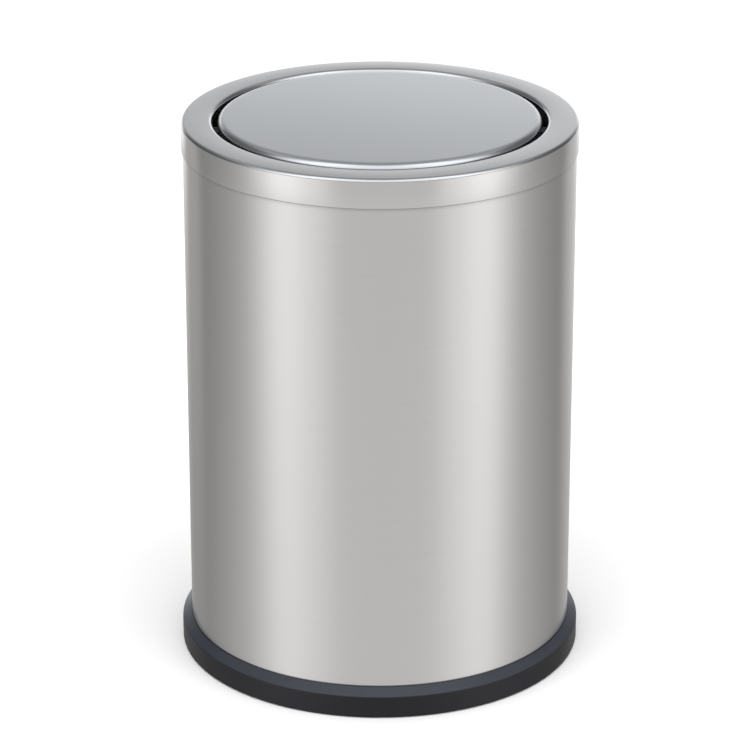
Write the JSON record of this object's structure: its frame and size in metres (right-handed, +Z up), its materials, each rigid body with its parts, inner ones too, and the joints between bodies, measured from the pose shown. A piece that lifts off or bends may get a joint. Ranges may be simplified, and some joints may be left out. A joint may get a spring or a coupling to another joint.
{
  "type": "swing-lid wastebasket",
  "caption": "Round brushed-steel wastebasket with a lift-off collar, a self-levelling pivoting flap, a lift-out inner bucket with a bail, and a black plastic base ring.",
  "frame": {"origin": "middle of the face the base ring stands on", "axes": "+Z up along the bin's own axis; the flap turns about a line along X, so -Y is the front"},
  "size_m": [0.26, 0.26, 0.3573],
  "materials": {
    "shell_steel": "satin brushed stainless steel, grain round the shell",
    "collar_steel": "fine brushed stainless steel, grain round the collar",
    "flap_steel": "fine brushed stainless steel, straight grain",
    "base_plastic": "satin black moulded plastic",
    "galvanised_steel": "galvanised sheet with a fine spangle",
    "zinc_hardware": "zinc-plated steel",
    "bush_nylon": "black nylon",
    "blackened_steel": "blackened steel",
    "weight_iron": "dull as-cast iron",
    "bail_wire": "drawn galvanised wire"
  },
  "bodies": {
    "bin": {"body_shell": "shell_steel", "bottom_plate": "galvanised_steel", "base_ring": "base_plastic", "base_screws": "zinc_hardware"},
    "collar": {"collar": "collar_steel", "pivot_bracket_left": "blackened_steel", "pivot_bracket_right": "blackened_steel", "pivot_bush_left": "bush_nylon", "pivot_bush_right": "bush_nylon"},
    "flap": {"flap_cover": "flap_steel", "flap_strap": "zinc_hardware", "pivot_pin_left": "blackened_steel", "pivot_pin_right": "blackened_steel", "counterweight": "weight_iron", "counterweight_studs": "zinc_hardware", "counterweight_spacers": "zinc_hardware", "counterweight_washers": "zinc_hardware", "counterweight_nuts": "zinc_hardware"},
    "bucket": {"bucket_wall": "galvanised_steel", "bucket_floor": "galvanised_steel", "bucket_ear_left": "galvanised_steel", "bucket_ear_right": "galvanised_steel", "ear_rivets": "zinc_hardware"},
    "bail": {"bail": "bail_wire"}
  },
  "joints": [
    {"name": "collar_lift", "type": "slide", "parent": "bin", "child": "collar", "axis": [0, 0, 1], "range_m": [0, 0.6]},
    {"name": "flap_swing", "type": "hinge", "parent": "collar", "child": "flap", "pos_m": [0, 0, 0.345], "axis": [1, 0, 0], "range_deg": [-90, 90]},
    {"name": "bucket_lift", "type": "slide", "parent": "bin", "child": "bucket", "axis": [0, 0, 1], "range_m": [0, 0.36]},
    {"name": "bail_swing", "type": "hinge", "parent": "bucket", "child": "bail", "pos_m": [0, 0, 0.3268], "axis": [1, 0, 0], "range_deg": [0, 90]}
  ],
  "couplings": [
    {"joint": "bucket_lift", "follows": "collar_lift", "ratio": 0.6},
    {"joint": "bail_swing", "follows": "collar_lift", "rad_per_m": 2.6}
  ]
}
